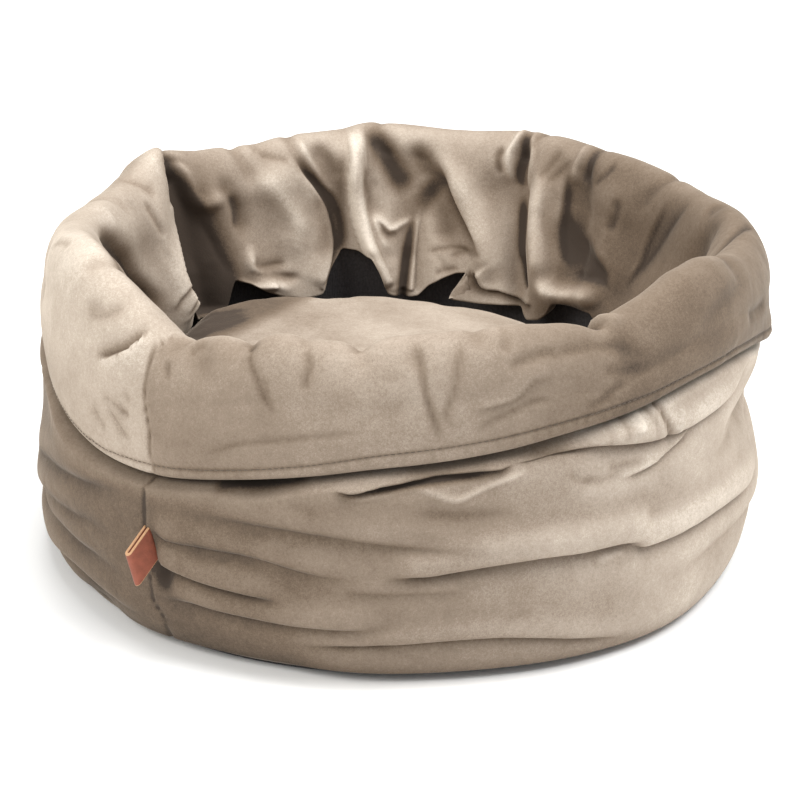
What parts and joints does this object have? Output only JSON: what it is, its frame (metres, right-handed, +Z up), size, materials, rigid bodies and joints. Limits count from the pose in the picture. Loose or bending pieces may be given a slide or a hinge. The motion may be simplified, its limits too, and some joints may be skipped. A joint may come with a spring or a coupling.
{
  "type": "round cat bed",
  "caption": "Round padded fabric cat bed with a high slouched wall, a turned-down rim and a filled cushion inside.",
  "frame": {"origin": "middle of the underside, on the surface the bed stands on", "axes": "+Z up; -Y towards the side with the leather tag at its left, +X to the right of that view"},
  "size_m": [0.4717, 0.4749, 0.22],
  "materials": {
    "velvet_wall": "short pile velvet, taupe",
    "velvet_cuff": "short pile velvet, taupe, nap turned over",
    "velvet_cushion": "short pile velvet, taupe, lit from above",
    "base_cloth": "matt charcoal cloth",
    "tag_leather": "smooth brown leather with bare tan edges"
  },
  "bodies": {
    "root": {"base_tray": "base_cloth", "outer_wall": "velvet_wall", "lining_cuff": "velvet_cuff", "cushion": "velvet_cushion", "leather_tag": "tag_leather"}
  },
  "joints": []
}
